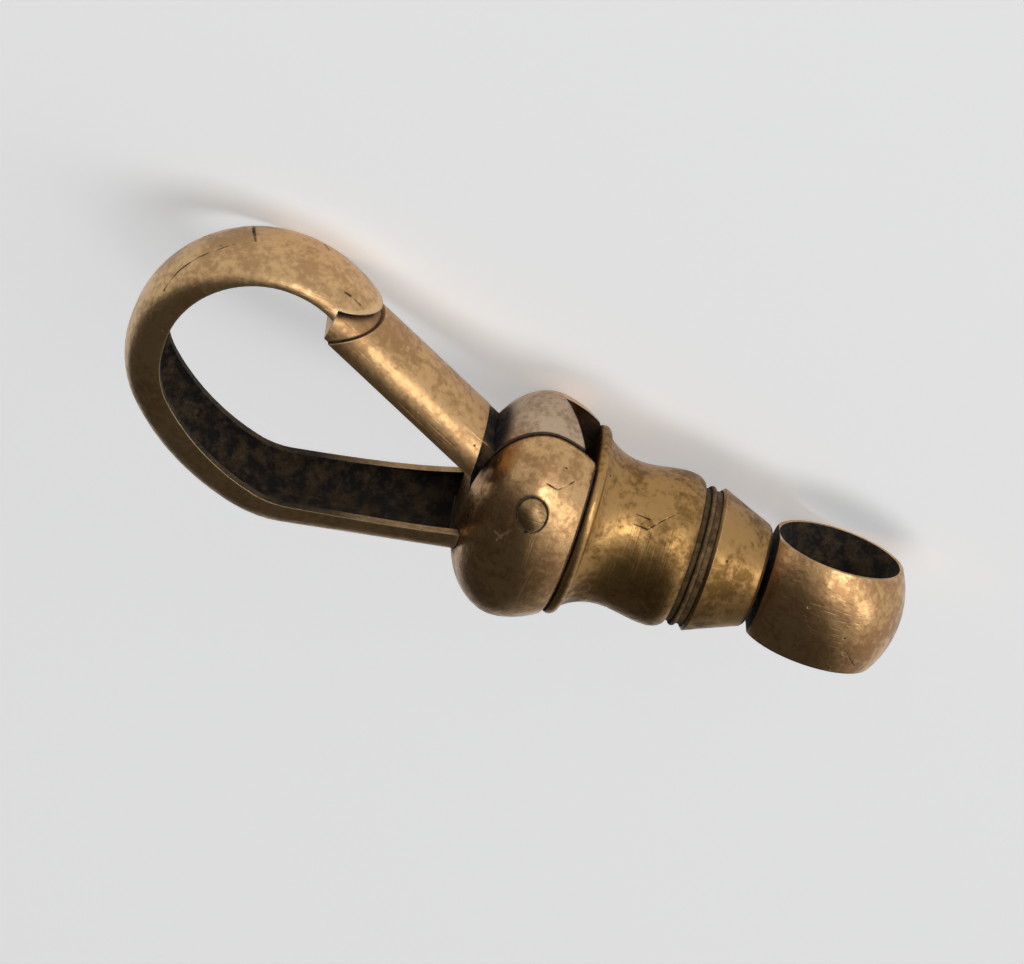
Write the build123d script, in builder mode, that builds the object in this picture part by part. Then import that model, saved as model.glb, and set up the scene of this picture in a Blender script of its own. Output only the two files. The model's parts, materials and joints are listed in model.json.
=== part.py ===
"""Swivel dog clip clasp: a struck channel hook with a sprung gate, on a turned body with a swivel ring.

The clasp is drawn with its swivel axis along X, the ring at +X and the hook at -X. The hook lies in
the XY plane with its gate on the +Y side, and the gate's pin runs along Z. The finished pieces are
then laid down the way the clasp comes to rest: on its bulb, its ring and the crown of its hook.
"""

import os
from math import asin, atan2, cos, degrees, hypot, radians, sin, tan

from build123d import *

# Head: an oblate bulb, flatter towards the hook than towards the barrel
bulb_radius = 4.78
bulb_nose = 2.6
bulb_face = 2.4
bulb_tail = 4.1
head_back = 2.1
head_edge = 0.12
spigot_radius = 2.4
spigot_length = 1.1

# Barrel: flange bead, waist, swelling and a groove with a fine bead in it
flange_radius = 4.05
flange_root_radius = 3.72
flange_width = 0.55
waist_radius = 3.07
waist_x = 4.5
swell_radius = 3.3
swell_x = 6.2
swell_end_radius = 3.05
groove_x = 7.0
groove_radius = 2.85
groove_width = 0.8
groove_bead_radius = 3.0
groove_bead_width = 0.22
barrel_bore_radius = 2.15

# Ferrule: a tapering cap with a plug let into the barrel's bore
ferrule_radius = 3.06
ferrule_end_radius = 2.2
ferrule_length = 2.4
ferrule_edge = 0.12
ferrule_plug_length = 0.9

# Swivel: ring, stem and washer
ring_gap = 0.28
ring_radius = 3.35
ring_width = 4.3
ring_rim_radius = 2.62
ring_rim_width = 0.16
ring_waist_radius = 2.12
ring_land = 0.6
ring_flat = 2.62
ring_turn = 74.0
stem_radius = 0.75
stem_tip_radius = 0.5
stem_tip_length = 0.45
stem_head_radius = 1.25
stem_head_length = 0.45
washer_radius = 1.8
washer_thickness = 0.3

# Hook: a channel with a convex back, open to the inside of the loop
root_x = -1.0
root_y = -2.3
arm_slope = 11.7
arm_length = 8.17
heel_bend_radius = 5.0
heel_bend_turn = 27.0
flank_radius = 10.5
flank_turn = 35.0
bow_radius = 5.2
far_length = 0.45
crown_radius = 5.3
shoulder_radius = 6.5
tip_slope = 30.0
tip_length = 1.6
root_width = 5.1
root_depth = 1.8
arm_width = 4.3
arm_depth = 1.7
bow_width = 4.1
bow_depth = 1.5
crown_depth = 0.85
tip_width = 4.5
tip_depth = 1.5
wall = 0.42
lip = 0.38
hook_scarf_x = -10.25
hook_scarf_y = 7.55
hook_scarf_slope = -10.4
scarf_reach = 4.0
tang_width = 2.4
tang_thickness = 0.8
tang_length = 2.1
tang_end = -0.4
tang_y = -2.3

# Gate: a straight channel arm on a knuckle let flush into the head
pin_y = 2.3
pin_radius = 0.62
gate_slope = 29.0
gate_reach = 12.4
gate_width = 4.15
gate_depth = 1.75
gate_root_x = -2.65
gate_scarf_x = -9.6
gate_scarf_y = 6.17
gate_scarf_slope = 23.0
tongue_inset = 0.15
tongue_front = -10.1
tongue_root = 9.4
knuckle_width = 2.8
knuckle_front = -2.1
knuckle_back = 1.43
knuckle_skew = 24.0
knuckle_proud = 0.1
knuckle_round = 0.15
eye_radius = 1.25
neck_drop = 0.45
neck_height = 1.0
neck_length = 4.2
heel_width = 0.95
heel_length = 2.0
slot_floor_y = 0.7
heel_pocket_front = -0.75
heel_pocket_floor = -1.1

# Gate spring: a steel leaf that stands behind the knuckle's heel
spring_width = 2.2
spring_thickness = 0.18
spring_foot_x = 1.95
spring_bend_x = 0.95
spring_top_y = 0.8
spring_bend_radius = 0.4

# Clearances
running_clearance = 0.04
side_clearance = 0.06
seat_clearance = 0.02
scarf_clearance = 0.1

# Stations along the swivel axis
groove_end = groove_x + groove_width
ferrule_end = groove_end + ferrule_length
ring_x = ferrule_end + ring_gap + ring_flat
plug_end = groove_end - ferrule_plug_length
slot_width = knuckle_width + 2 * side_clearance
beyond = 2 * bulb_radius

# The gate's own directions: along its arm to the tip, and out of the loop
gate_along = Vector(-cos(radians(gate_slope)), sin(radians(gate_slope)), 0)
gate_out = Vector(sin(radians(gate_slope)), cos(radians(gate_slope)), 0)
pin_centre = Vector(0, pin_y, 0)


def half_bulb(allowance):
    """Half profile of the bulb on the XY plane, its surface moved out by the allowance."""
    radius = bulb_radius + allowance
    nose = bulb_nose + allowance
    tail = bulb_tail + allowance
    front_turn = asin(bulb_face / nose)
    back_turn = asin(head_back / tail)
    with BuildSketch(Plane.XY) as half:
        with BuildLine():
            back = Spline(
                (-bulb_face, radius * cos(front_turn)),
                (-nose * sin(front_turn / 2), radius * cos(front_turn / 2)),
                (0, radius),
                (tail * sin(back_turn / 2), radius * cos(back_turn / 2)),
                (head_back, radius * cos(back_turn)),
                tangents=[
                    (nose * cos(front_turn), radius * sin(front_turn)),
                    (tail * cos(back_turn), -radius * sin(back_turn)),
                ],
            )
            Polyline(back @ 1, (head_back, 0), (-bulb_face, 0), back @ 0)
        make_face()
    return half.sketch


def channel(plane, width, depth):
    """Crescent section of a channel: its back touches the plane's origin and it opens along the plane's Y."""
    with BuildSketch(plane) as section:
        with BuildLine():
            back = EllipticalCenterArc((0, depth), width / 2, depth, start_angle=180, arc_size=180)
            inside = EllipticalCenterArc((0, depth), width / 2 - lip, depth - wall, start_angle=180, arc_size=180)
            Line(back @ 0, inside @ 0)
            Line(back @ 1, inside @ 1)
        make_face()
    return section.sketch


def across(edge, position):
    """Plane square to an edge of the hook's line, its X along the hook's width and its Y into the loop."""
    return Plane(origin=edge @ position, x_dir=(0, 0, 1), z_dir=edge % position)


def scarf_plane(x, y, slope):
    """Plane square to the hook's plane, through one point, with its Y axis out of the loop."""
    lean = radians(slope)
    return Plane(origin=(x, y, 0), x_dir=(cos(lean), sin(lean), 0), z_dir=(0, 0, 1))


hook_scarf = scarf_plane(hook_scarf_x, hook_scarf_y, hook_scarf_slope)
gate_scarf = scarf_plane(gate_scarf_x, gate_scarf_y, gate_scarf_slope)

# Head
with BuildPart() as head:
    revolve(half_bulb(0), axis=Axis.X)
    chamfer(head.edges().filter_by(GeomType.CIRCLE).group_by(Axis.X)[-1], head_edge)
    with BuildSketch(Plane.YZ.offset(head_back)):
        Circle(spigot_radius)
    extrude(amount=spigot_length)
    with BuildSketch(Plane.XY):
        with Locations((head_back, slot_floor_y)):
            Rectangle(beyond, beyond, align=(Align.MAX, Align.MIN))
        with Locations((heel_pocket_front, heel_pocket_floor)):
            Rectangle(head_back - heel_pocket_front, beyond, align=(Align.MIN, Align.MIN))
    extrude(amount=slot_width / 2, both=True, mode=Mode.SUBTRACT)
    with BuildSketch(Plane.XY):
        with Locations((tang_end + seat_clearance, tang_y - seat_clearance)):
            Rectangle(beyond, tang_thickness + 2 * seat_clearance, align=(Align.MAX, Align.MIN))
    extrude(amount=tang_width / 2 + seat_clearance, both=True, mode=Mode.SUBTRACT)
    with BuildSketch(Plane.XY):
        with Locations((0, pin_y)):
            Circle(pin_radius + seat_clearance)
    extrude(amount=beyond, both=True, mode=Mode.SUBTRACT)
head.part.label = "head"

# Barrel
with BuildPart() as barrel:
    bead_mid = groove_x + groove_width / 2
    with BuildSketch(Plane.XY):
        with BuildLine():
            flange = ThreePointArc(
                (head_back, flange_root_radius),
                (head_back + flange_width / 2, flange_radius),
                (head_back + flange_width, flange_root_radius),
            )
            waist = Spline(
                flange @ 1,
                (waist_x, waist_radius),
                (swell_x, swell_radius),
                (groove_x, swell_end_radius),
                tangents=[(1, -1), (1, -1)],
            )
            groove_wall = Line(waist @ 1, (groove_x, groove_radius))
            near_groove = Line(groove_wall @ 1, (bead_mid - groove_bead_width / 2, groove_radius))
            bead = ThreePointArc(
                near_groove @ 1,
                (bead_mid, groove_bead_radius),
                (bead_mid + groove_bead_width / 2, groove_radius),
            )
            far_groove = Line(bead @ 1, (groove_end, groove_radius))
            end_face = Line(far_groove @ 1, (groove_end, barrel_bore_radius))
            bore = Line(end_face @ 1, (head_back, barrel_bore_radius))
            Line(bore @ 1, flange @ 0)
        make_face()
    revolve(axis=Axis.X)
    with BuildSketch(Plane.YZ.offset(head_back)):
        Circle(spigot_radius + seat_clearance)
    extrude(amount=spigot_length, mode=Mode.SUBTRACT)
barrel.part.label = "barrel"

# Ferrule
with BuildPart() as ferrule:
    with BuildSketch(Plane.XY):
        with BuildLine():
            Polyline(
                (groove_end, stem_radius + running_clearance),
                (groove_end, ferrule_radius - ferrule_edge),
                (groove_end + ferrule_edge, ferrule_radius),
                (ferrule_end - ferrule_edge, ferrule_end_radius),
                (ferrule_end, ferrule_end_radius - ferrule_edge),
                (ferrule_end, stem_radius + running_clearance),
                close=True,
            )
        make_face()
        with Locations((plug_end, stem_radius + running_clearance)):
            plug_height = barrel_bore_radius - seat_clearance - stem_radius - running_clearance
            Rectangle(ferrule_plug_length, plug_height, align=(Align.MIN, Align.MIN))
    revolve(axis=Axis.X)
ferrule.part.label = "ferrule"

# Swivel ring: its hole's axis is square to X and turned about it
ring_normal = Vector(0, -sin(radians(ring_turn)), cos(radians(ring_turn)))
ring_section = Plane(origin=(ring_x, 0, 0), x_dir=(1, 0, 0), z_dir=Vector(1, 0, 0).cross(ring_normal))
with BuildPart() as swivel_ring:
    half_width = ring_width / 2
    with BuildSketch(ring_section):
        with BuildLine():
            crown_line = ThreePointArc(
                (ring_rim_radius + ring_rim_width, -half_width),
                (ring_radius, 0),
                (ring_rim_radius + ring_rim_width, half_width),
            )
            rim = Line(crown_line @ 1, (ring_rim_radius, half_width))
            land = Line((ring_waist_radius, ring_land / 2), (ring_waist_radius, -ring_land / 2))
            far_rim = Line((ring_rim_radius, -half_width), crown_line @ 0)
            TangentArc(land @ 0, rim @ 1, tangent=(0, 1))
            TangentArc(land @ 1, far_rim @ 0, tangent=(0, -1))
        make_face()
    revolve(axis=Axis((ring_x, 0, 0), ring_normal))
    with BuildSketch(Plane.YZ.offset(ring_x - ring_flat)):
        Rectangle(beyond, beyond)
    extrude(amount=-ring_radius, mode=Mode.SUBTRACT)
    with BuildSketch(Plane.YZ.offset(ring_x - ring_flat)):
        Circle(stem_tip_radius + seat_clearance)
    extrude(amount=ring_flat, mode=Mode.SUBTRACT)
swivel_ring.part.label = "swivel_ring"

# Swivel stem
washer_x = plug_end - running_clearance - washer_thickness
head_x = washer_x - seat_clearance - stem_head_length
with BuildPart() as swivel_stem:
    with BuildSketch(Plane.YZ.offset(head_x)):
        Circle(stem_head_radius)
    extrude(amount=stem_head_length)
    with BuildSketch(Plane.YZ.offset(head_x)):
        Circle(stem_radius)
    extrude(amount=ring_x - ring_flat - head_x)
    with BuildSketch(Plane.YZ.offset(ring_x - ring_flat)):
        Circle(stem_tip_radius)
    extrude(amount=stem_tip_length)
swivel_stem.part.label = "swivel_stem"

# Swivel washer
with BuildPart() as swivel_washer:
    with BuildSketch(Plane.YZ.offset(washer_x)):
        Circle(washer_radius)
        Circle(stem_radius + seat_clearance, mode=Mode.SUBTRACT)
    extrude(amount=washer_thickness)
swivel_washer.part.label = "swivel_washer"

# Hook
lean = radians(arm_slope)
with BuildPart() as hook:
    with BuildLine() as hook_line:
        arm = Line((root_x, root_y), (root_x - arm_length * cos(lean), root_y - arm_length * sin(lean)))
        heel_bend = JernArc(arm @ 1, arm % 1, heel_bend_radius, -heel_bend_turn)
        flank = JernArc(heel_bend @ 1, heel_bend % 1, flank_radius, -flank_turn)
        bow = JernArc(flank @ 1, flank % 1, bow_radius, heel_bend_turn + flank_turn - arm_slope - 90)
        far_end = Line(bow @ 1, bow @ 1 + bow % 1 * far_length)
        crown = JernArc(far_end @ 1, far_end % 1, crown_radius, -90)
        shoulder = JernArc(crown @ 1, crown % 1, shoulder_radius, -tip_slope)
        tip = Line(shoulder @ 1, shoulder @ 1 + shoulder % 1 * tip_length)
    sections = [
        channel(across(arm, 0), root_width, root_depth),
        channel(across(arm, 1), arm_width, arm_depth),
        channel(across(bow, 1), bow_width, bow_depth),
        channel(across(crown, 1), bow_width, crown_depth),
        channel(across(tip, 1), tip_width, tip_depth),
    ]
    sweep(sections=sections, path=hook_line.wires()[0], multisection=True)
    with BuildSketch(hook_scarf):
        Rectangle(scarf_reach, scarf_reach, align=(Align.MIN, Align.MAX))
    extrude(amount=bow_width, both=True, mode=Mode.SUBTRACT)
    revolve(half_bulb(seat_clearance), axis=Axis.X, mode=Mode.SUBTRACT)
    with BuildSketch(Plane.XY):
        with Locations((tang_end, tang_y)):
            Rectangle(tang_length, tang_thickness, align=(Align.MAX, Align.MIN))
    extrude(amount=tang_width / 2, both=True)
hook.part.label = "hook"

# Knuckle: the part of the gate that fills the head's slot, its back flush with the bulb
with BuildPart() as knuckle:
    with BuildSketch(Plane.XY):
        with Locations((knuckle_front, pin_y)):
            Rectangle(knuckle_back - knuckle_front, bulb_radius, align=(Align.MIN, Align.MIN))
        with Locations((0, pin_y)):
            Circle(eye_radius)
            Rectangle(heel_width, heel_length, align=(Align.CENTER, Align.MAX))
    extrude(amount=knuckle_width / 2, both=True)
    with BuildSketch(Plane.XZ):
        with Locations((knuckle_back, knuckle_width / 2)):
            Rectangle(beyond, 2 * beyond, rotation=-knuckle_skew, align=(Align.MIN, Align.CENTER))
    extrude(amount=beyond, both=True, mode=Mode.SUBTRACT)
    revolve(half_bulb(knuckle_proud), axis=Axis.X, mode=Mode.INTERSECT)
    fillet(knuckle.edges().filter_by(GeomType.LINE, reverse=True).sort_by(Axis.X)[-1], knuckle_round)

# Gate
gate_end = Plane(origin=pin_centre + gate_along * gate_reach, x_dir=(0, 0, 1), z_dir=-gate_along)
with BuildPart() as gate:
    extrude(channel(gate_end, gate_width, gate_depth), amount=gate_reach)
    with BuildSketch(Plane.YZ.offset(gate_root_x)):
        Rectangle(beyond * 2, beyond)
    extrude(amount=beyond, mode=Mode.SUBTRACT)
    with BuildSketch(gate_scarf):
        Rectangle(2 * beyond, beyond, align=(Align.CENTER, Align.MIN))
    extrude(amount=gate_width, both=True, mode=Mode.SUBTRACT)
    with BuildSketch(gate_end):
        with BuildLine():
            back = EllipticalCenterArc(
                (0, gate_depth),
                gate_width / 2 - tongue_inset,
                gate_depth - tongue_inset,
                start_angle=180,
                arc_size=180,
            )
            Line(back @ 0, back @ 1)
        make_face()
    extrude(amount=gate_reach - tongue_root)
    with BuildSketch(hook_scarf):
        with Locations((0, -scarf_clearance)):
            Rectangle(2 * beyond, beyond, align=(Align.CENTER, Align.MIN))
        with Locations((tongue_front - hook_scarf_x, 0)):
            Rectangle(beyond, 2 * beyond, align=(Align.MAX, Align.CENTER))
    extrude(amount=gate_width, both=True, mode=Mode.SUBTRACT)
    add(knuckle.part)
    neck_plane = Plane(origin=pin_centre - gate_out * neck_drop, x_dir=gate_along, z_dir=(0, 0, -1))
    with BuildSketch(neck_plane):
        Rectangle(neck_length, neck_height, align=(Align.MIN, Align.MAX))
    extrude(amount=knuckle_width / 2, both=True)
    with BuildSketch(Plane.XY):
        with Locations((0, pin_y)):
            Circle(pin_radius + running_clearance)
    extrude(amount=beyond, both=True, mode=Mode.SUBTRACT)
gate.part.label = "gate"

# Gate pin: riveted over flush with the bulb
with BuildPart() as gate_pin:
    with BuildSketch(Plane.XY):
        with Locations((0, pin_y)):
            Circle(pin_radius)
    extrude(amount=bulb_radius, both=True)
    revolve(half_bulb(0), axis=Axis.X, mode=Mode.INTERSECT)
gate_pin.part.label = "gate_pin"

# Gate spring
foot_y = heel_pocket_floor + seat_clearance + spring_thickness / 2
top_x = heel_width / 2 + side_clearance + spring_thickness / 2
with BuildPart() as gate_spring:
    with BuildSketch(Plane.XY):
        with BuildLine():
            FilletPolyline(
                (spring_foot_x, foot_y),
                (spring_bend_x, foot_y),
                (top_x, spring_top_y),
                radius=spring_bend_radius,
            )
        trace(line_width=spring_thickness)
    extrude(amount=spring_width / 2, both=True)
gate_spring.part.label = "gate_spring"

# Laid down: rolled onto the crown of the hook, and dipped towards the ring, which is the smaller end
pieces = [head, barrel, ferrule, swivel_ring, swivel_stem, swivel_washer, hook, gate, gate_pin, gate_spring]
dip = atan2(bulb_radius - ring_radius, ring_x)
crown_top = crown @ 1
crown_height = bulb_radius - crown_top.X * tan(dip)
crown_lip = crown_top.Y - crown_depth
crown_span = hypot(crown_lip, bow_width / 2)
roll = asin(crown_height / crown_span) - atan2(bow_width / 2, crown_lip)
turned = Rot(0, degrees(dip), 0) * Rot(-degrees(roll), 0, 0)
box = Compound([turned * piece.part for piece in pieces]).bounding_box()
lying = Pos(-box.center().X, -box.center().Y, -box.min.Z) * turned

os.makedirs("parts", exist_ok=True)
for piece in pieces:
    export_step(lying * piece.part, f"parts/{piece.part.label}.step")
print("dip", degrees(dip), "roll", degrees(roll), "size", box.size)
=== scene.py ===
"""Looks of the swivel dog clip clasp: worn rolled gold, brown in its seams, lying on a pale floor.

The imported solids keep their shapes, and each gets the finish of its own piece.
"""

import json
from math import cos, radians, sin

import bmesh
import bpy
from mathutils import Matrix, Vector


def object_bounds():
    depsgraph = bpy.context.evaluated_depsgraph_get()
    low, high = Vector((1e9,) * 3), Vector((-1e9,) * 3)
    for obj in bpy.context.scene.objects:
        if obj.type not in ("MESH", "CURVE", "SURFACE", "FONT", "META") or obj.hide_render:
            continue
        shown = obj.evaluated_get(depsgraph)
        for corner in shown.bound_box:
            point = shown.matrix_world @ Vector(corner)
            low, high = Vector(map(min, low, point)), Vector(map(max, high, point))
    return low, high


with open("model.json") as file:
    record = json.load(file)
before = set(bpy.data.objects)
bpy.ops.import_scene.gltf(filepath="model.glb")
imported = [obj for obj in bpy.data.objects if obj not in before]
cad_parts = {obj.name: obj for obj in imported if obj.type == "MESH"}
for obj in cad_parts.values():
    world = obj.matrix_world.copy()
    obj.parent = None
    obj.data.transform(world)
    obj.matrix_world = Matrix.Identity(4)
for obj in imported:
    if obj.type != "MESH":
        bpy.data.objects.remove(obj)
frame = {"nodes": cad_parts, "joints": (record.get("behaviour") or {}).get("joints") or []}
cad_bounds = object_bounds()

MM = 0.001

# The riveted pin's radius, and the middle of the joint line round it, in millimetres
PIN_RADIUS = 0.62
PIN_JOINT = 0.63

# Stations between which the gate's arm becomes its knuckle, in millimetres from the bulb's middle
KNUCKLE_START, KNUCKLE_WHOLE = -2.45, -2.3

# The turned groove's two edges on the clasp, in millimetres from the bulb's middle
GROOVE = (7.02, 7.78)

# How often the grain of scratches repeats in a millimetre, towards the ring, out through the gate and along
# the pin: drawn out along a filed piece, and running round a turned one
FILED = (0.3, 9.0, 9.0)
TURNED = (11.0, 0.3, 0.3)

# Half the floor's side in metres, and its own glow to the camera and in the metal
FLOOR_HALF = 1.5
FLOOR_GLOW = 0.46

# The clasp's own directions: towards the ring, out through the gate, and along the gate's pin
joints = {joint["name"]: joint for joint in frame["joints"]}
swivel_point = Vector(joints["ring_swivel"]["pos_m"])
pin_point = Vector(joints["gate_hinge"]["pos_m"])
ring_way = Vector(joints["ring_swivel"]["axis"]).normalized()
pin_way = Vector(joints["gate_hinge"]["axis"]).normalized()
gate_way = pin_way.cross(ring_way)
bulb_centre = swivel_point + (pin_point - swivel_point).dot(ring_way) * ring_way
clasp_turn = Matrix((ring_way, gate_way, pin_way))


def linear(code):
    """Linear colour of an sRGB hex code."""
    parts = [int(code[i:i + 2], 16) / 255 for i in (1, 3, 5)]
    return tuple(c / 12.92 if c <= 0.04045 else ((c + 0.055) / 1.055) ** 2.4 for c in parts) + (1.0,)


def add(tree, kind, inputs=None, **settings):
    """Adds a node with its settings, and sets or links its inputs."""
    node = tree.nodes.new("ShaderNode" + kind)
    for name, value in settings.items():
        setattr(node, name, value)
    for socket, value in (inputs or {}).items():
        if isinstance(value, bpy.types.NodeSocket):
            tree.links.new(value, node.inputs[socket])
        else:
            node.inputs[socket].default_value = value
    return node


def new_material(name):
    """A material with an empty tree, and its output node."""
    material = bpy.data.materials.new(name)
    material.use_nodes = True
    tree = material.node_tree
    tree.nodes.clear()
    return material, tree, add(tree, "OutputMaterial")


def clasp_place(tree):
    """Place on the clasp in millimetres: X towards the ring, Y out through the gate, Z along the pin."""
    scale = 1 / MM
    place = add(tree, "TexCoord").outputs["Object"]
    return add(tree, "Mapping", {
        "Vector": place,
        "Location": -scale * (clasp_turn @ bulb_centre),
        "Rotation": clasp_turn.to_euler(),
        "Scale": (scale, scale, scale),
    }).outputs["Vector"]


def line_marks(tree, place, marks):
    """1 on the lines cut into a skin, each a row of places on the clasp with its own half width."""
    cut = None
    for width, *points in marks:
        for start, end in zip(points, points[1:]):
            start, end = Vector(start), Vector(end)
            way = (end - start).normalized()
            offset = add(tree, "VectorMath", {0: place, 1: start}, operation="SUBTRACT").outputs[0]
            along = add(tree, "VectorMath", {0: offset, 1: way}, operation="DOT_PRODUCT").outputs["Value"]
            held = add(tree, "Clamp", {"Value": along, "Max": (end - start).length}).outputs[0]
            foot = add(tree, "VectorMath", {0: way, "Scale": held}, operation="SCALE").outputs[0]
            away = add(tree, "VectorMath", {0: offset, 1: foot}, operation="DISTANCE").outputs["Value"]
            line = add(tree, "MapRange", {
                "Value": away, "From Min": 0.4 * width, "From Max": width, "To Min": 1.0, "To Max": 0.0,
            }, interpolation_type="SMOOTHSTEP").outputs[0]
            if cut is None:
                cut = line
            else:
                cut = add(tree, "Math", {0: cut, 1: line}, operation="MAXIMUM").outputs[0]
    return cut


def worn_gold(name, body, bright, tarnish, patina, crumb, roughness, tarnish_share=0.5, grain=FILED,
              grain_turn=0.0, hollow=None, groove=None, marks=(), rivet_line=False, domed=0.0, knuckle=None):
    """Rolled gold on brass, hand polished, then worn for a century: satin gold that is pale and bright on
    its edges, brown-tarnished in soft patches, finely scratched, and nearly black where dirt has set. Its
    seams and hollows are browned and blackened partly by that tarnish and dirt, partly by painted shade.
    Bare brass and steel wear in the same way, in colours of their own."""
    material, tree, output = new_material(name)
    place = clasp_place(tree)

    # Soft patches of tarnish, about 1.8 mm across, broken up by 0.3 mm mottling
    patches = add(tree, "TexNoise", {
        "Vector": place, "Scale": 1 / 1.8, "Detail": 5.0, "Roughness": 0.6,
    }).outputs["Fac"]
    mottling = add(tree, "TexNoise", {
        "Vector": place, "Scale": 1 / 0.3, "Detail": 3.0, "Roughness": 0.6,
    }).outputs["Fac"]
    patchy = add(tree, "Mix", {"Factor": 0.42, 2: patches, 3: mottling}, data_type="FLOAT").outputs[0]
    tarnish_and_seam_shade = add(tree, "MapRange", {
        "Value": patchy, "From Min": 0.43, "From Max": 0.6, "To Min": 0.0, "To Max": tarnish_share,
    }, interpolation_type="SMOOTHSTEP").outputs[0]

    # Within 2 mm of a seam the skin browns: partly tarnish where hands never reach, partly painted shade
    seam_openness = add(tree, "AmbientOcclusion", {"Distance": 2.2 * MM}, samples=8).outputs["AO"]
    seam_tarnish_and_shade = add(tree, "MapRange", {
        "Value": seam_openness, "From Min": 0.88, "From Max": 0.58, "To Min": 0.0, "To Max": 0.85,
    }).outputs[0]
    tarnish_and_seam_shade = add(tree, "Math", {0: tarnish_and_seam_shade, 1: seam_tarnish_and_shade}, operation="MAXIMUM").outputs[0]

    # Dirt and painted shade darken where neighbours come within 0.7 mm; wear brightens edges over 0.13 mm
    nearby = add(tree, "AmbientOcclusion", {"Distance": 0.7 * MM}, samples=8).outputs["AO"]
    dirt_and_shade = add(tree, "MapRange", {
        "Value": nearby, "From Min": 0.86, "From Max": 0.52, "To Min": 0.0, "To Max": 1.0,
    }, interpolation_type="SMOOTHSTEP").outputs[0]
    inner = add(tree, "AmbientOcclusion", {"Distance": 0.13 * MM}, samples=8, inside=True, only_local=True)
    edge = add(tree, "MapRange", {
        "Value": inner.outputs["AO"], "From Min": 0.9, "From Max": 0.5, "To Min": 0.0, "To Max": 0.7,
    }, interpolation_type="SMOOTHSTEP").outputs[0]
    if hollow:
        # A hollow is painted black-brown: partly its crust of crumbling scale, partly the shade that falls in
        # it.
        # Its wall opposite is this many millimetres off, and the dark begins at one share of open sky and is
        # whole at the other
        opposite, bare, wholly_dark = hollow
        sheltered = add(tree, "AmbientOcclusion", {"Distance": opposite * MM}, samples=16, only_local=True)
        crust_and_shade = add(tree, "MapRange", {
            "Value": sheltered.outputs["AO"],
            "From Min": bare, "From Max": wholly_dark, "To Min": 0.0, "To Max": 1.0,
        }, interpolation_type="SMOOTHSTEP").outputs[0]
        crumbs = add(tree, "MapRange", {
            "Value": mottling, "From Min": 0.66, "From Max": 0.54, "To Min": 0.93, "To Max": 1.0,
        }).outputs[0]
        crust_and_shade = add(tree, "Math", {0: crust_and_shade, 1: crumbs}, operation="MULTIPLY").outputs[0]
        dirt_and_shade = add(tree, "Math", {0: dirt_and_shade, 1: crust_and_shade}, operation="MAXIMUM").outputs[0]

    # Ragged pits up to 0.15 mm across, about one to every 1.2 mm
    pits = add(tree, "TexVoronoi", {"Vector": place, "Scale": 1 / 1.2}).outputs["Distance"]
    ragged = add(tree, "Math", {0: mottling, 1: 0.16, 2: pits}, operation="MULTIPLY_ADD").outputs[0]
    sunk = add(tree, "MapRange", {
        "Value": ragged, "From Min": 0.1, "From Max": 0.14, "To Min": 0.9, "To Max": 0.0,
    }).outputs[0]
    if groove:
        # The turned groove between these stations on the clasp is darkened towards mottled black-brown
        station = add(tree, "SeparateXYZ", {0: place}).outputs["X"]
        within = add(tree, "Math", {0: station, 1: sum(groove) / 2, 2: (groove[1] - groove[0]) / 2},
                     operation="COMPARE").outputs[0]
        groove_darkening = add(tree, "MapRange", {
            "Value": mottling, "From Min": 0.35, "From Max": 0.65, "To Min": 0.45, "To Max": 0.75,
        }).outputs[0]
        groove_darkening = add(tree, "Math", {0: within, 1: groove_darkening}, operation="MULTIPLY").outputs[0]
        dirt_and_shade = add(tree, "Math", {0: dirt_and_shade, 1: groove_darkening}, operation="MAXIMUM").outputs[0]
    if marks:
        cuts = line_marks(tree, place, marks)
        worn_out = add(tree, "MapRange", {
            "Value": mottling, "From Min": 0.36, "From Max": 0.6, "To Min": 0.25, "To Max": 0.9,
        }).outputs[0]
        cuts = add(tree, "Math", {0: cuts, 1: worn_out}, operation="MULTIPLY").outputs[0]
        sunk = add(tree, "Math", {0: sunk, 1: cuts}, operation="MAXIMUM").outputs[0]
    if rivet_line:
        # Dirt in the joint round the riveted pin
        pin_y = (pin_point - bulb_centre).dot(gate_way) / MM
        flat = add(tree, "VectorMath", {0: place, 1: (1.0, 1.0, 0.0)}, operation="MULTIPLY").outputs[0]
        from_pin = add(tree, "VectorMath", {0: flat, 1: (0.0, pin_y, 0.0)}, operation="DISTANCE")
        joint_line = add(tree, "Math", {0: from_pin.outputs["Value"], 1: PIN_JOINT, 2: 0.05},
                         operation="COMPARE").outputs[0]
        joint_line = add(tree, "Math", {0: joint_line, 1: mottling}, operation="MULTIPLY").outputs[0]
        joint_line = add(tree, "Math", {0: joint_line, 1: 1.5}, operation="MULTIPLY",
                         use_clamp=True).outputs[0]
        sunk = add(tree, "Math", {0: sunk, 1: joint_line}, operation="MAXIMUM").outputs[0]
        dome = add(tree, "Math", {0: from_pin.outputs["Value"], 1: from_pin.outputs["Value"]},
                   operation="MULTIPLY").outputs[0]

    dirt_and_shade = add(tree, "Math", {0: dirt_and_shade, 1: sunk}, operation="MAXIMUM").outputs[0]

    # Fine scratches that follow the way the piece was filed or turned, 0.1 mm apart, which is coarse enough
    # for them to show
    turned = add(tree, "Mapping", {
        "Vector": place, "Rotation": (0.0, 0.0, radians(grain_turn)),
    }).outputs["Vector"]
    drawn = add(tree, "VectorMath", {0: turned, 1: grain}, operation="MULTIPLY").outputs[0]
    lines = add(tree, "TexNoise", {
        "Vector": drawn, "Scale": 1.0, "Detail": 2.0, "Roughness": 0.5,
    }).outputs["Fac"]
    scratches = add(tree, "MapRange", {
        "Value": lines, "From Min": 0.58, "From Max": 0.72, "To Min": 0.0, "To Max": 1.0,
    }).outputs[0]

    base, rim = linear(body), linear(bright)
    if knuckle:
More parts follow.
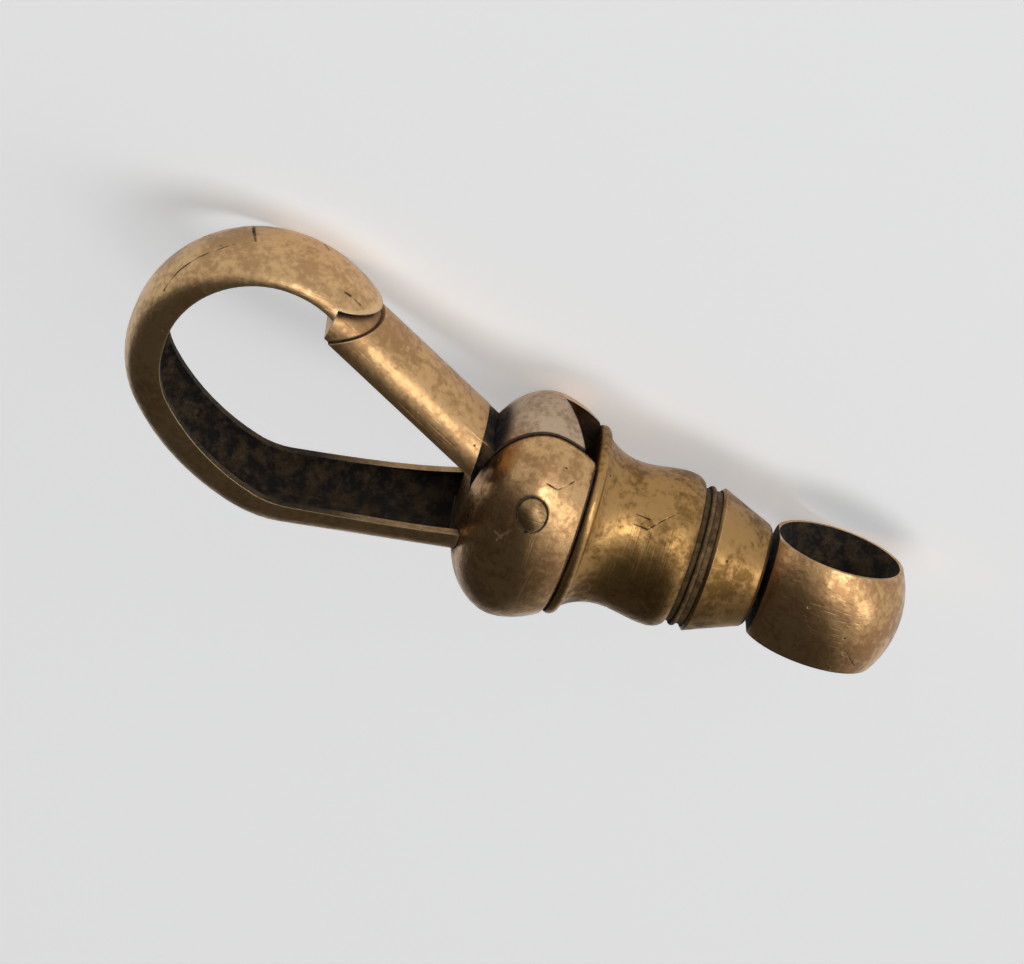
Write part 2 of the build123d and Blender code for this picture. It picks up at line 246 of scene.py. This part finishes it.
        # The gate's knuckle has worn paler, and its edges are painted black-brown
        along = add(tree, "SeparateXYZ", {0: place}).outputs["X"]
        share = add(tree, "MapRange", {
            "Value": along, "From Min": KNUCKLE_START, "From Max": KNUCKLE_WHOLE,
        }).outputs[0]
        base = add(tree, "Mix", {"Factor": share, 6: base, 7: linear(knuckle)}, data_type="RGBA").outputs[2]
        rim = add(tree, "Mix", {"Factor": share, 6: rim, 7: linear(patina)}, data_type="RGBA").outputs[2]
    colour = add(tree, "Mix", {"Factor": tarnish_and_seam_shade, 6: base, 7: linear(tarnish)}, data_type="RGBA").outputs[2]
    colour = add(tree, "Mix", {"Factor": edge, 6: colour, 7: rim}, data_type="RGBA").outputs[2]

    # The dirt and painted shade, black-brown with paler crumbs about 0.8 mm across
    crumbly = add(tree, "TexNoise", {
        "Vector": place, "Scale": 1 / 0.8, "Detail": 6.0, "Roughness": 0.72,
    }).outputs["Fac"]
    scale_tone = add(tree, "MapRange", {"Value": crumbly, "From Min": 0.46, "From Max": 0.6}).outputs[0]
    scale = add(tree, "Mix", {
        "Factor": scale_tone, 6: linear(patina), 7: linear(crumb),
    }, data_type="RGBA").outputs[2]
    colour = add(tree, "Mix", {"Factor": dirt_and_shade, 6: colour, 7: scale}, data_type="RGBA").outputs[2]

    # Tarnish and scratches dull the polish, and dirt, with the painted shade, is matt and hardly metallic
    rough = add(tree, "Math", {0: tarnish_and_seam_shade, 1: 0.2, 2: roughness}, operation="MULTIPLY_ADD").outputs[0]
    rough = add(tree, "Math", {0: scratches, 1: 0.07, 2: rough}, operation="MULTIPLY_ADD").outputs[0]
    rough = add(tree, "Mix", {"Factor": dirt_and_shade, 2: rough, 3: 0.85}, data_type="FLOAT").outputs[0]
    metallic = add(tree, "Math", {0: dirt_and_shade, 1: -0.8, 2: 1.0}, operation="MULTIPLY_ADD").outputs[0]

    # Edges rounded by 0.06 mm of wear, soft dents about 1.4 mm across, and the marks cut into the skin. Each
    # row of the relief is its height, strength and depth in millimetres, and whether it goes into the skin
    worn = add(tree, "Bevel", {"Radius": 0.06 * MM}, samples=4).outputs["Normal"]
    dents = add(tree, "TexNoise", {
        "Vector": place, "Scale": 1 / 1.4, "Detail": 3.0, "Roughness": 0.5,
    }).outputs["Fac"]
    skin = worn
    if domed:
        # The rivet's end was peened to a low dome, this many millimetres high
        skin = add(tree, "Bump", {"Distance": domed / PIN_RADIUS ** 2 * MM, "Height": dome, "Normal": skin},
                   invert=True).outputs["Normal"]
    for height, strength, depth, into in (
        (dents, 0.5, 0.13, False),
        (mottling, 0.35, 0.03, False),
        (scratches, 0.35, 0.011, True),
        (sunk, 0.6, 0.05, True),
    ):
        skin = add(tree, "Bump", {
            "Strength": strength, "Distance": depth * MM, "Height": height, "Normal": skin,
        }, invert=into).outputs["Normal"]

    # Dirt, with the painted shade, lies on that skin in lumps of its own
    lumps = add(tree, "Bump", {"Strength": 0.9, "Distance": 0.3 * MM, "Height": crumbly, "Normal": skin})
    skin = add(tree, "Mix", {
        "Factor": dirt_and_shade, 4: skin, 5: lumps.outputs["Normal"],
    }, data_type="VECTOR").outputs[1]
    shader = add(tree, "BsdfPrincipled", {
        "Base Color": colour, "Metallic": metallic, "Roughness": rough, "Normal": skin,
    })
    tree.links.new(shader.outputs[0], output.inputs["Surface"])
    return material


# Cuts, cracks and scratches: each row is a half width and then places on the clasp, all in millimetres
HOOK_MARKS = (
    (0.09, (-14.35, 8.05, -1.5), (-14.32, 8.25, -0.63), (-14.2, 8.34, 0.05)),
    (0.07, (-11.37, 8.29, -1.32), (-11.12, 8.34, -0.95)),
    (0.08, (-16.1, 6.95, -1.25), (-16.05, 7.0, -1.15)),
    (0.07, (-15.95, 7.11, -1.17), (-15.9, 7.15, -1.1)),
    (0.05, (-17.13, 5.44, 1.19), (-16.79, 6.33, 0.78), (-16.2, 7.09, 0.54), (-15.53, 7.65, 0.4),
     (-14.99, 8.0, 0.19)),
    (0.09, (-10.13, 7.98, 1.13), (-9.9, 7.9, 1.1)),
    (0.06, (-9.68, 7.77, 1.09), (-9.4, 7.6, 1.1)),
)
HEAD_MARKS = (
    (0.05, (0.2, 3.46, 3.3), (0.68, 3.34, 3.33), (1.0, 3.46, 3.08), (1.3, 3.62, 2.78)),
    (0.07, (-0.99, 0.78, 4.32), (-0.82, 1.15, 4.34), (-0.6, 1.45, 4.37)),
    (0.06, (-1.18, 1.02, 4.11), (-0.86, 0.98, 4.36)),
)
BARREL_MARKS = (
    (0.04, (4.35, 2.12, 2.22), (4.93, 2.11, 2.29), (5.36, 2.48, 2.0), (5.82, 2.78, 1.7)),
    (0.04, (4.33, 2.41, 1.9), (4.91, 2.41, 1.98)),
    (0.06, (9.5, 2.38, 0.48), (9.55, 2.35, 0.5)),
    (0.06, (9.73, 2.27, 0.54), (9.78, 2.24, 0.56)),
)
RING_MARKS = (
    (0.13, (14.28, -0.17, 3.17), (14.4, -0.3, 3.12)),
    (0.06, (14.45, -0.27, 3.1), (14.93, -0.92, 2.76)),
    (0.09, (13.51, 0.59, -2.46), (13.82, 0.56, -2.35)),
)

# Rolled gold: its sound skin, bright edges, tarnish, and the black-brown of dirt and painted shade with paler
# crumbs
GOLD = dict(body="#d0a876", bright="#e2c698", tarnish="#70462a", patina="#0c0704", crumb="#453622")

# Hook: a struck channel, filed and polished along its length, so it shines outside and is crusted inside,
# where shade is painted too
hook_finish = worn_gold("rolled_gold_hook", roughness=0.3, tarnish_share=0.42, hollow=(12.0, 0.985, 0.92),
                        marks=HOOK_MARKS, **(GOLD | dict(body="#d8b280")))

# Gate: a struck channel filed along its slope, so its scratches run that way
gate_finish = worn_gold("rolled_gold_gate", roughness=0.29, hollow=(3.0, 0.85, 0.7), grain_turn=29.0,
                        knuckle="#c4ad92", **GOLD)

# Head: turned and polished, the smoothest piece, with red-brown tarnish and dark edges at its slot
head_finish = worn_gold("rolled_gold_head", roughness=0.27, hollow=(2.5, 0.985, 0.92), rivet_line=True,
                        marks=HEAD_MARKS, grain=TURNED, **(GOLD | dict(bright="#2a1a10", tarnish="#6e3c24")))

# Pin: bare brass, peened to a low dome, so duller and less yellow than the gold round it
pin_finish = worn_gold("brass_pin", roughness=0.33, rivet_line=True, domed=0.16, tarnish_share=0.7,
                       **(GOLD | dict(body="#a78a60")))

# Barrel and ferrule: turned, with fine rings round them and much olive-brown tarnish
barrel_finish = worn_gold("rolled_gold_barrel", roughness=0.31, tarnish_share=0.75, marks=BARREL_MARKS,
                          groove=GROOVE, grain=TURNED, **(GOLD | dict(body="#b08a57", tarnish="#654920")))

# Ring: polished outside by chain and hand, crusted and painted with shade in its eye
ring_finish = worn_gold("rolled_gold_ring", roughness=0.28, hollow=(6.0, 0.985, 0.92), marks=RING_MARKS,
                        **(GOLD | dict(tarnish="#6e3c24")))

# Stem and washer: turned brass that is never polished, so matt and brown
stem_finish = worn_gold("brass_stem", roughness=0.4, tarnish_share=0.8, **(GOLD | dict(body="#a0845a")))

# Spring: rolled steel strip, grey with a brown bloom of rust
steel_finish = worn_gold("spring_steel", roughness=0.35, body="#8b8a86", bright="#c8c6c0",
                         tarnish="#55483c", patina="#15110d", crumb="#2b241d")

finishes = {
    "hook": hook_finish,
    "gate": gate_finish,
    "head": head_finish,
    "gate_pin": pin_finish,
    "barrel": barrel_finish,
    "ferrule": barrel_finish,
    "swivel_ring": ring_finish,
    "swivel_stem": stem_finish,
    "swivel_washer": stem_finish,
    "gate_spring": steel_finish,
}
for node, finish in finishes.items():
    solid = frame["nodes"][node]
    solid.data.materials.clear()
    solid.data.materials.append(finish)

# Floor: uncoated pale paper, matt and even, which lights itself a little for the camera and in the metal
floor_mesh = bmesh.new()
bmesh.ops.create_grid(floor_mesh, x_segments=1, y_segments=1, size=FLOOR_HALF)
floor_data = bpy.data.meshes.new("floor")
floor_mesh.to_mesh(floor_data)
floor_mesh.free()
floor = bpy.data.objects.new("floor", floor_data)
bpy.context.scene.collection.objects.link(floor)
floor.visible_shadow = False  # dirt and painted shade are found between the clasp's own pieces, not where it meets the floor
paper, tree, output = new_material("pale_paper")
rays = add(tree, "LightPath").outputs
seen = add(tree, "Math", {0: rays["Is Camera Ray"], 1: rays["Is Glossy Ray"]}, operation="MAXIMUM").outputs[0]
seen = add(tree, "Math", {0: seen, 1: rays["Is Transmission Ray"]}, operation="MAXIMUM").outputs[0]
glow = add(tree, "Math", {0: seen, 1: FLOOR_GLOW}, operation="MULTIPLY").outputs[0]
shader = add(tree, "BsdfPrincipled", {
    "Base Color": linear("#e6e7e8"), "Roughness": 0.9,
    "Emission Color": linear("#e6e7e8"), "Emission Strength": glow,
})
tree.links.new(shader.outputs[0], output.inputs["Surface"])
floor_data.materials.append(paper)

# World: light grey, with a dark stretch overhead and beyond the hook for the metal to show. It is black below
# the horizon, because the floor casts no shadow and would let that light up through itself
world = bpy.data.worlds.new("studio")
bpy.context.scene.world = world
world.use_nodes = True
tree = world.node_tree
tree.nodes.clear()
sky_way = add(tree, "TexCoord").outputs["Generated"]
dark_way = Vector((-0.45, -0.25, 0.86)).normalized()
facing = add(tree, "VectorMath", {0: sky_way, 1: dark_way}, operation="DOT_PRODUCT").outputs["Value"]
shade = add(tree, "MapRange", {
    "Value": facing, "From Min": -0.15, "From Max": 0.55, "To Min": 0.75, "To Max": 0.07,
}, interpolation_type="SMOOTHSTEP").outputs[0]
height = add(tree, "SeparateXYZ", {0: sky_way}).outputs["Z"]
above_floor = add(tree, "Math", {0: height, 1: 0.0}, operation="GREATER_THAN").outputs[0]
shade = add(tree, "Math", {0: shade, 1: above_floor}, operation="MULTIPLY").outputs[0]
sky = add(tree, "Background", {"Color": linear("#efece8"), "Strength": shade})
tree.links.new(sky.outputs[0], add(tree, "OutputWorld").inputs["Surface"])

# Camera: from the gate's side, leaning a little towards the hook, and rolled with the clasp, in metres
TURN, LEAN, ROLL = radians(34), radians(7), radians(17.5)
FRAME_WIDTH = 42 * MM
CAMERA_AWAY = 0.9
gate_face = sin(TURN) * gate_way + cos(TURN) * pin_way
along_hook = -cos(LEAN) * ring_way - sin(LEAN) * gate_face
past_gate = cos(TURN) * gate_way - sin(TURN) * pin_way
view_back = cos(LEAN) * gate_face - sin(LEAN) * ring_way
view_right = sin(ROLL) * past_gate - cos(ROLL) * along_hook
view_up = cos(ROLL) * past_gate + sin(ROLL) * along_hook
middle = (cad_bounds[0] + cad_bounds[1]) / 2
camera_data = bpy.data.cameras.new("camera")
camera_data.lens = camera_data.sensor_width * CAMERA_AWAY / FRAME_WIDTH
camera_data.clip_start = 0.01
camera = bpy.data.objects.new("camera", camera_data)
bpy.context.scene.collection.objects.link(camera)
turn = Matrix((view_right, view_up, view_back)).transposed().to_4x4()
camera.matrix_world = Matrix.Translation(middle + CAMERA_AWAY * view_back) @ turn
bpy.context.scene.camera = camera


def softbox(name, direction, away, width, height, power):
    """An area lamp that faces the clasp from one direction."""
    data = bpy.data.lights.new(name, "AREA")
    data.shape = "RECTANGLE"
    data.size, data.size_y = width, height
    data.energy = power
    lamp = bpy.data.objects.new(name, data)
    bpy.context.scene.collection.objects.link(lamp)
    way = Vector(direction).normalized()
    facing_it = way.to_track_quat("Z", "Y").to_matrix().to_4x4()
    lamp.matrix_world = Matrix.Translation(middle + away * way) @ facing_it
    return lamp


# Soft boxes: a low one before the gate's side, one towards the ring, and one overhead for the floor alone
softbox("key_box", (0.26, 0.95, 0.13), 0.5, 0.26, 0.12, 0.5)
softbox("ring_box", (0.8, 0.58, 0.17), 0.55, 0.4, 0.17, 0.42)
softbox("floor_box", (0.3, 0.2, 1.0), 1.0, 0.8, 0.8, 3.5).visible_glossy = False

bpy.context.scene.view_settings.view_transform = "Standard"
